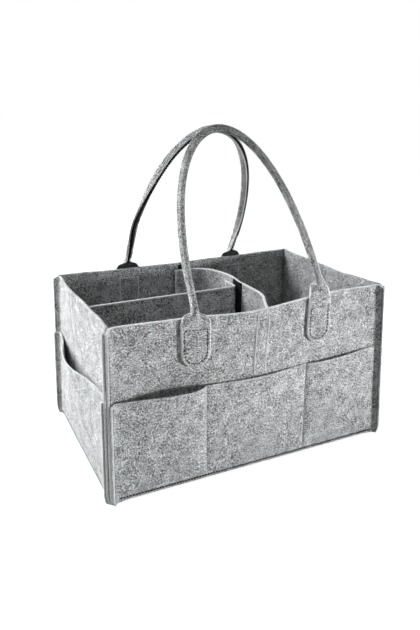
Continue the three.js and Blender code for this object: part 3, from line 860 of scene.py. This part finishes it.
def stitch_dip(across, z):
    """How far a sewn tab is pulled in beside its stitches."""
    gap = np.hypot(STITCH_LOOP[:, 0] - across[:, None], STITCH_LOOP[:, 1] - z).min(axis=1)
    return TAB_DIP * np.exp(-((gap / TAB_DIP_WIDTH) ** 2))


def arch_point(turn):
    rise = HANDLE_LENGTH * max(math.sin(turn), 0.0) ** (2 / ARCH_FULLNESS)
    return np.array([-TAB_SPREAD * math.cos(turn), rise])


def leg_of(turn):
    return -1 if turn < math.pi / 2 else 1


def strip_twist(name, turn, rise):
    """How far a grip's fold is turned about its own line."""
    leg = name, leg_of(turn)
    degrees = STRIP_TWIST[leg]
    if leg == ("back", 1):
        degrees += BACK_LEG_TWIST * (1 - smooth(rise, *BACK_LEG_TWIST_SPAN))
    ease = smooth(rise, *NECKS[leg].turns)
    top = smooth(rise, *TOP_TWIST_SPAN)
    return math.radians(degrees * ease * (1 - top) + TOP_TWIST[name] * top)


def grip_frame(name, turn):
    """The middle of a grip at one turn of its arch, and its two section axes."""
    wall = WALLS[name]
    along, rise = arch_point(turn)
    before, after = max(turn - ARCH_STEP, 0), min(turn + ARCH_STEP, math.pi)
    tangent = unit(arch_point(after) - arch_point(before))
    tilt = handle_lean * smooth(rise, 0, NECK_LENGTH / 2)
    run, face = np.array([*wall.run, 0.0]), np.array([*wall.face, 0.0])
    up = np.array([0.0, 0.0, 1.0])
    out = neck_out[name] - rise * math.sin(handle_lean)
    middle = wall.place(along, out, HINGE_Z + SEWN_GAP + rise * math.cos(handle_lean))
    inwards = math.cos(tilt) * up - math.sin(tilt) * face
    wide = -tangent[1] * run + tangent[0] * inwards
    thick = math.cos(tilt) * face + math.sin(tilt) * up
    twist = strip_twist(name, turn, rise)
    turned = math.cos(twist) * wide + math.sin(twist) * thick
    return middle, turned, math.cos(twist) * thick - math.sin(twist) * wide


def fold_share(neck, z):
    return smooth(z - WALL_HEIGHT, *neck.folds)


def neck_edge_highlight(name, end, z):
    """How strong the painted highlight on the front right neck's outer edge is: from the rim up to
    its fold.
    """
    if (name, end) != ("front", 1):
        return 0.0
    over = z - WALL_HEIGHT
    return smooth(over, *NECK_HIGHLIGHT_FROM) * (1 - smooth(over, *NECK_HIGHLIGHT_TO))


def tab_rings(name, end):
    wall, centre = WALLS[name], end * TAB_SPREAD
    neck = NECKS[name, end]
    half, foot = TAB_WIDTH / 2, WALL_HEIGHT - TAB_DROP
    fine_from = WALL_HEIGHT - TAB_FINE_DROP
    tip = np.linspace(0.06, 1, 12)
    heights = [foot + half * (1 - math.cos(share * math.pi / 2)) for share in tip]
    heights += list(np.linspace(foot + half, fine_from, 16)[1:])
    heights += list(np.linspace(fine_from, HINGE_Z, 20)[1:])
    rings = []
    for z in heights:
        section, marks = strip_section(strip_halves(neck, z), fold_share(neck, z), TAB_FELT)
        marks[1] = neck_edge_highlight(name, end, z)
        across, q = end * section[:, 0], section[:, 1]
        q[:SAMPLES] -= stitch_dip(across[:SAMPLES], z)
        out = tab_middle(wall, centre + across, centre, z) + q
        rings.append((wall.place(centre + across, out, z), marks))
    return rings


def grip_turns():
    rises = np.linspace(0, NECK_LENGTH, NECK_STEPS + 1)[1:]
    turns = [math.asin((rise / HANDLE_LENGTH) ** (ARCH_FULLNESS / 2)) for rise in rises]
    turns += list(np.linspace(turns[-1], math.pi / 2, GRIP_STEPS)[1:])
    return turns + [math.pi - turn for turn in reversed(turns[:-1])]


GRIP_TURNS = grip_turns()


def grip_edge_highlight(name, turn, z):
    """How pale the two raw edges of a grip are painted, as a painted highlight that varies leg by
    leg and along the back grip.
    """
    if name == "front":
        return (FRONT_LEG_PALE[1 if turn > math.pi / 2 else -1],) * 2
    near = (1 + math.cos(turn)) / 2
    if turn > math.pi / 2:
        return smooth(z, *BACK_LEG_PALE) * (1 - near), 0.0
    return 1 - near, near if turn < math.pi / 2 else 0.0


def grip_section(name, turn):
    middle, wide, thick = grip_frame(name, turn)
    z = middle[2]
    neck = NECKS[name, leg_of(turn)]
    opened = smooth(z, *OPENS_FROM) * (1 - smooth(z, *OPENS_TO))
    fold = fold_share(neck, z) * (1 - neck.opens * opened)
    felt = TAB_FELT + (STRIP_FELT - TAB_FELT) * fold
    section, marks = strip_section(strip_halves(neck, z), fold, felt, grip_edge_highlight(name, turn, z))
    marks[1] = neck_edge_highlight(name, leg_of(turn), z)
    return middle + section[:, :1] * wide + section[:, 1:] * thick, marks


handles = {}
for name in LONG_SIDES:
    rings = tab_rings(name, -1)
    rings += [grip_section(name, turn) for turn in GRIP_TURNS]
    rings += list(reversed(tab_rings(name, 1)))
    points, marks = (np.array(part) for part in zip(*rings))
    faces = tube_faces(*marks.shape)
    handles[name] = make_piece(f"{name}_handle_strip", points, faces, handle_felt, marks)
    # Painted shade: the strip's inner face, inside the fold, is marked to be painted nearly black
    fold_shaded = np.zeros(marks.shape)
    fold_shaded[:, SAMPLES + 3:2 * SAMPLES + 3] = 1
    mark_points(handles[name].data, "fold_inside_shade", fold_shaded)

# Stitching, in rows that stop short of the edges of what they sew
POCKET_STITCH_SPAN = (7, POCKET_HEIGHT - 1.5)
POCKET_STITCH_RISE = 0.15
CORNER_STITCH_SHARE = 0.55
CORNER_SPANS = (
    (5, POCKET_HEIGHT - 3, POCKET_FACE),
    (POCKET_HEIGHT + 2, WALL_HEIGHT - 6, WALL_FELT / 2),
)
TAPE_STITCH_SPAN = (POCKET_HEIGHT + 3, WALL_HEIGHT - HOOK_RIM_GAP)


def on_face(wall, along, out, z, inside=False):
    """A run of stitches on one face of a wall."""
    points = wall.place(along, out, z)
    return points, np.tile([*wall.face, 0.0], (len(points), 1)) * (-1 if inside else 1)


def tab_run(name, end, inside):
    wall, centre = WALLS[name], end * TAB_SPREAD
    along, z = centre + STITCH_LOOP[:, 0], STITCH_LOOP[:, 1]
    if inside:
        out = wall.middle(along, z) - WALL_FELT / 2 - THREAD_LIFT
    else:
        out = tab_middle(wall, along, centre, z) + TAB_FELT / 2 - TAB_STITCH_SINK
    return on_face(wall, along, out, z, inside)


def seam_run(name, end):
    wall = WALLS[name]
    z = np.linspace(*POCKET_STITCH_SPAN, 40)
    along = np.full(len(z), end * POCKET_SEAM)
    out = wall.middle(along, z) + POCKET_FACE - SEAM_PRESS + POCKET_STITCH_RISE
    return on_face(wall, along, out, z)


def foot_run(name):
    wall = WALLS[name]
    share = np.linspace(-1, 1, 90)
    z = np.full(len(share), FOOT_SEAM_HEIGHT)
    along = share * wall_span(wall, z)
    out = wall.middle(along, z) + POCKET_FACE + swollen(SWELLS[name], wall, along, z)
    return on_face(wall, along, out - foot_tuck(z, share) + THREAD_LIFT, z)


def corner_run(name, end, low, high, offset):
    """Stitches down one face of a corner seam, on the layer that lies at an offset."""
    wall = WALLS[name]
    z = np.linspace(low, high, 50)
    radius = SEAM_BEND - offset - THREAD_LIFT
    tip = CORNER_STITCH_SHARE * SEAM_ALLOWANCE
    along = end * (wall_span(wall, z) + (radius + tip) / math.sqrt(2))
    out = wall.reach(z) + SEAM_BEND + (tip - radius) / math.sqrt(2)
    normal = wall.place(-end * math.sqrt(0.5), math.sqrt(0.5), 0.0)
    return wall.place(along, out, z), np.tile(normal, (len(z), 1))


def slit_shade_run(name):
    """Dark stitches that close a grip's slit, between its two raw edges; drawn thick, they also
    stand in for the slit's shadow as painted shade.
    """
    points, normals = [], []
    section, _ = strip_section((STRIP_HALF,) * 2, 1.0, STRIP_FELT)
    depth = section[:, 1].min() + SLIT_DEPTH[name]
    for turn in GRIP_TURNS[NECK_STEPS:-NECK_STEPS]:
        middle, wide, thick = grip_frame(name, turn)
        across = BACK_SLIT_SHIFT * math.cos(turn) if name == "back" else 0.0
        points.append(middle + across * wide + depth * thick)
        normals.append(-thick)
    return np.array(points), np.array(normals)


def tape_run(wall, line):
    """One row of the stitches that hold a hook tape, on the outside of its wall."""
    z = np.linspace(*TAPE_STITCH_SPAN, 40)
    along = np.full(len(z), line)
    return on_face(wall, along, wall.middle(along, z) + WALL_FELT / 2 - TAPE_STITCH_SINK, z)


for name in LONG_SIDES:
    for end in (-1, 1):
        side = name + ("_left" if end * WALLS[name].run[0] < 0 else "_right")
        tab, inner = tab_run(name, end, False), tab_run(name, end, True)
        sew(f"{side}_tab", [tab], dark_thread, pitch=3.5, length=2.4, radius=0.62)
        sew(f"{side}_inner", [inner], pale_thread, length=2.7, radius=0.8)
        sew(f"{side}_pocket", [seam_run(name, end)], grey_thread)
for name in WALLS:
    # On the long walls the foot stitches are drawn thick and dark: real stitches that also stand in
    # for the shade along the foot, painted shade
    thread, radius = (dark_thread, 0.95) if name in LONG_SIDES else (grey_thread, 0.6)
    sew(f"{name}_foot", [foot_run(name)], thread, pitch=3.2, length=2.2, radius=radius)
    runs = [corner_run(name, end, *span) for end in (-1, 1) for span in CORNER_SPANS]
    sew(f"{name}_corner", runs, dark_thread)
for name in LONG_SIDES:
    sew(f"{name}_grip", [slit_shade_run(name)], dark_thread, length=2.9, radius=SLIT_SHADE_THREAD[name])

# Dividers and the hook tapes that hold them
HOOK_LIFT = SEWN_GAP + HOOK_FELT + DIVIDER_GAP


def clear_reach(name, along, z):
    """How far out a divider's tab can stand at a height and still be lifted past the rim."""
    reach = WALLS[name].bowed(along, np.linspace(z, WALL_HEIGHT, 13))
    return float(reach.min()) - WALL_FELT / 2 - HOOK_LIFT - DIVIDER_FELT / 2


def curve_points(count, *controls):
    """Points of a line from the first control to the last, drawn towards those between."""
    t = np.linspace(0, 1, count)[:, None]
    points = [np.array(control, float) for control in controls]
    while len(points) > 1:
        points = [(1 - t) * a + t * b for a, b in zip(points, points[1:])]
    return points[0]


def tabbed(first, middle, last):
    """A divider's line with tabs at its ends, each given as (tip, bend, corner)."""
    (first_tip, first_bend, first_corner), (last_tip, last_bend, last_corner) = first, last
    return np.concatenate([
        curve_points(8, first_tip, first_bend)[:-1],
        curve_points(8, first_bend, first_corner, middle[0])[:-1],
        middle,
        curve_points(8, middle[-1], last_corner, last_bend)[1:],
        curve_points(8, last_bend, last_tip)[1:],
    ])


def cross_curve(z, count):
    """The cross divider between its bends: its depths at the front and back, and its points."""
    front_y = -min(clear_reach("front", along, z) for along in (CROSS_FRONT_X, -DIVIDER_TAB))
    back_y = min(clear_reach("back", along, z) for along in (CROSS_BACK_X, -DIVIDER_TAB))
    controls = [(CROSS_FRONT_X + x, front_y + y) for x, y in CROSS_FRONT_STEPS]
    controls += [(CROSS_BACK_X + x, back_y + y) for x, y in CROSS_BACK_STEPS]
    curve = curve_points(count, *controls)
    y = curve[:, 1]
    curve[:, 0] += sum(sway * np.exp(-(((y - at) / over) ** 2)) for sway, at, over in CROSS_SWAYS)
    return front_y, back_y, curve


def cross_path(z):
    front_y, back_y, curve = cross_curve(z, 46)
    steps = (FELT_EDGE - DIVIDER_BEND - DIVIDER_TAB, -DIVIDER_BEND, 0)
    front = [(CROSS_FRONT_X + step, front_y) for step in steps]
    back = [(CROSS_BACK_X + step, back_y) for step in steps]
    return tabbed(front, curve, back)


def standing_grid(path_at, low, high, rows):
    grid = []
    for z in [*np.linspace(low, high - 2 * EDGE_ROW, rows), high]:
        path = path_at(z)
        grid.append(np.column_stack([path, np.full(len(path), z)]))
    return np.array(grid)


def make_divider(name, path_at, top):
    grid = standing_grid(path_at, DIVIDER_FOOT + FELT_EDGE, top - FELT_EDGE, DIVIDER_ROWS)
    points, faces, marks = sheet_mesh(grid, DIVIDER_FELT)
    return make_piece(name, points, faces, divider_felt, marks)


def make_tape(name, grid):
    points, faces, _ = sheet_mesh(grid, HOOK_FELT, TAPE_EDGE)
    return make_piece(name, points, faces, hook_tape)


def cross_stretch(z, from_y, to_y, count):
    """Points of the cross divider's curve between two depths, with its direction at each."""
    _, _, curve = cross_curve(z, 200)
    y = np.linspace(from_y, to_y, count)
    points = np.stack([np.interp(y, curve[:, 1], curve[:, 0]), y], -1)
    return points, unit(np.gradient(points, axis=0))


join_from = LONG_RIGHT_Y - JOIN_HOOK_FRONT
join_offset = DIVIDER_FELT / 2 + SEWN_GAP + HOOK_FELT / 2


def join_path(z):
    points, tangent = cross_stretch(z, join_from, join_from + JOIN_HOOK_WIDTH, 16)
    return points + join_offset * np.stack([-tangent[:, 1], tangent[:, 0]], -1)


cross_divider = make_divider("cross_divider_felt", cross_path, CROSS_TOP)
join_grid = standing_grid(join_path, HOOK_FOOT, JOIN_HOOK_TOP, HOOK_ROWS)
join_tape = make_tape("divider_hook_tape", join_grid)

# The long divider stands clear of the tapes at both its ends.
tab_end = DIVIDER_BEND + DIVIDER_TAB
levels = (DIVIDER_FOOT, CROSS_TOP)
beside = [cross_stretch(z, join_from, LONG_RIGHT_Y + tab_end, 11)[0] for z in levels]
long_right_x = float(np.concatenate(beside)[:, 0].min()) - DIVIDER_FELT - HOOK_LIFT
long_left_x = -min(clear_reach("left", LONG_LEFT_Y + step, DIVIDER_FOOT) for step in (0, tab_end))


def long_path(_):
    left, right = np.array([long_left_x, LONG_LEFT_Y]), np.array([long_right_x, LONG_RIGHT_Y])
    slope = unit(right - left)
    start, end = left + slope * DIVIDER_BEND, right - slope * DIVIDER_BEND
    steps = [(0, tab_end - FELT_EDGE), (0, DIVIDER_BEND), (0, 0)]
    tabs = [[corner + step for step in steps] for corner in (left, right)]
    return tabbed(tabs[0], curve_points(50, start, end), tabs[1])


long_divider = make_divider("long_divider_felt", long_path, LONG_TOP)

tapes = {}
for name, centre in TAPE_CENTRES.items():
    wall = WALLS[name]
    along = centre + np.linspace(1, -1, 12)[None, :] * HOOK_WIDTH / 2
    z = np.linspace(HOOK_FOOT, WALL_HEIGHT - HOOK_RIM_GAP / 2, HOOK_ROWS)[:, None]
    out = wall.middle(along, z) - WALL_FELT / 2 - SEWN_GAP - HOOK_FELT / 2
    tapes[name] = make_tape(f"{name}_hook_tape", wall.place(along, out, z))
    runs = [tape_run(wall, line) for line in tape_lines(name)]
    sew(f"{name}_tape", runs, pale_thread, length=2.9, radius=TAPE_THREAD[name])

# What each piece rides on and stands for
SEWN_NODES = {"tab": "tab_stitching", "pocket": "pocket_seam", "foot": "foot_seam"}


def dress(piece, body, slot, *nodes):
    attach(piece, body)
    if nodes:
        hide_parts(*nodes)


for name, wall in walls.items():
    pocket = pockets[name]
    panel = "panel" if name in LONG_SIDES else "end_panel"
    dress(wall, "caddy", "wall_felt", f"{name}_{panel}")
    dress(pocket, "caddy", "pocket_felt", f"{name}_pocket")
    length = 2 * (wall_span(WALLS[name], 0.0) + SEAM_BEND * math.pi / 4 + SEAM_ALLOWANCE)

dress(floor_felt, "caddy", "wall_felt", "base_panel")

for name, run in stitches.items():
    side, kind = name.rsplit("_", 1)
    nodes = [f"{side}_{SEWN_NODES[kind]}"] if kind in SEWN_NODES else []
    dress(run, name if kind == "grip" else "caddy", "thread", *nodes)

for name, tape in tapes.items():
    dress(tape, "caddy", "hook_strip", f"{name}_hook_strip")
dress(join_tape, "cross_insert", "hook_strip", "divider_hook_strip")

DIVIDER_MIDDLE = 90
for kind, divider, path_at, top in (
    ("cross", cross_divider, cross_path, CROSS_TOP),
    ("long", long_divider, long_path, LONG_TOP),
):
    dress(divider, f"{kind}_insert", "divider_felt", f"{kind}_divider")
    run_reach(path_at(DIVIDER_MIDDLE))[-1]

BEND_FROM, BEND_TO = HINGE_Z - 5, HINGE_Z + 6
for name, strip in handles.items():
    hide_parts(f"{name}_handle", f"{name}_left_tab", f"{name}_right_tab")
    hinge_y = WALLS[name].face[1] * (neck_out[name] + TAB_FELT / 2) * MM
    start, end = (0, hinge_y, BEND_FROM * MM), (0, hinge_y, BEND_TO * MM)
    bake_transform(strip)
    arch = run_reach(np.array([grip_frame(name, turn)[0] for turn in GRIP_TURNS]))[-1]
    tab = TAB_DROP + NECK_RISE
    heights = np.linspace(WALL_HEIGHT - TAB_DROP, HINGE_Z, 60)

# Stage, lights and camera
STAGE_HALF = 12
STAGE_DROP = 0.0005
STAGE_TONE = 0.36
STAGE_WHITE = 0.925
STAGE_BOUNCE = 0.12
SKY_TOP = 0.33
SKY_EDGE = 0.06


def seen_rays(tree):
    """One for rays that show the studio, and nought for those that only light the caddy."""
    rays = add_node(tree, "LightPath").outputs
    seen = add_math(tree, "MAXIMUM", rays["Is Camera Ray"], rays["Is Glossy Ray"])
    return add_math(tree, "MAXIMUM", seen, rays["Is Transmission Ray"])


def stage_material(name):
    """A matt floor that looks nearly white, keeps the shadow and throws a little light back."""
    material = bpy.data.materials.new(name)
    material.use_nodes = True
    tree = material.node_tree
    tree.nodes.clear()
    matt = add_node(tree, "BsdfDiffuse", Color=(*[STAGE_TONE] * 3, 1))
    white = add_math(tree, "MULTIPLY", seen_rays(tree), STAGE_WHITE)
    strength = add_math(tree, "MAXIMUM", white, STAGE_BOUNCE)
    glow = add_node(tree, "Emission", Strength=strength)
    both = add_node(tree, "AddShader")
    tree.links.new(matt.outputs[0], both.inputs[0])
    tree.links.new(glow.outputs[0], both.inputs[1])
    add_node(tree, "OutputMaterial", Surface=both.outputs[0])
    return material


def aim(thing, direction):
    thing.rotation_mode = "QUATERNION"
    thing.rotation_quaternion = direction.to_track_quat("-Z", "Y")


def add_light(name, place, target, size, power, spread=180):
    data = bpy.data.lights.new(name, "AREA")
    data.shape = "RECTANGLE"
    data.size, data.size_y = size
    data.energy = power
    data.spread = math.radians(spread)
    lamp = add_object(name, data)
    lamp.location = place
    aim(lamp, Vector(target) - Vector(place))


stage_mesh = bpy.data.meshes.new("studio_floor")
corners = [(x * STAGE_HALF, y * STAGE_HALF) for x, y in ((-1, -1), (1, -1), (1, 1), (-1, 1))]
stage_mesh.from_pydata([(x, y, -STAGE_DROP) for x, y in corners], [], [(0, 1, 2, 3)])
stage_mesh.materials.append(stage_material("studio_floor"))
add_object("studio_floor", stage_mesh)

world = bpy.data.worlds.new("studio")
world.use_nodes = True
scene.world = world
tree = world.node_tree
sky = tree.nodes["Background"]
sky.inputs["Color"].default_value = (1, 1, 1, 1)
generated = add_node(tree, "TexCoord").outputs["Generated"]
direction = add_node(tree, "SeparateXYZ", Vector=generated)
height = add_math(tree, "MAXIMUM", direction.outputs["Z"], 0.0)
ambient = add_math(tree, "ADD", add_math(tree, "MULTIPLY", height, SKY_TOP - SKY_EDGE), SKY_EDGE)
tree.links.new(add_math(tree, "MAXIMUM", seen_rays(tree), ambient), sky.inputs["Strength"])

add_light("key_left", (-1.15, 1.05, 0.17), (-0.14, 0, 0.1), (0.5, 0.2), 0.58, spread=24)
add_light("front_right", (1.35, -1.2, 0.155), (0.115, -0.1, 0.11), (0.5, 0.28), 0.58, spread=16)
add_light("left_top", (-1.08, 0.74, 1.05), (0, 0, 0.15), (0.7, 0.7), 23.5)

azimuth, elevation = math.radians(CAMERA_AZIMUTH), math.radians(CAMERA_ELEVATION)
back = Vector((
    math.sin(azimuth) * math.cos(elevation),
    -math.cos(azimuth) * math.cos(elevation),
    math.sin(elevation),
))
camera = add_object("camera", bpy.data.cameras.new("camera"))
camera.data.sensor_width = SENSOR_WIDTH
camera.data.lens = CAMERA_FOCAL_PX / IMAGE_LONG_PX * SENSOR_WIDTH
camera.location = (Vector(CAMERA_TARGET) + back * CAMERA_DISTANCE) * MM
aim(camera, -back)
scene.camera = camera
scene.view_settings.view_transform = "Standard"
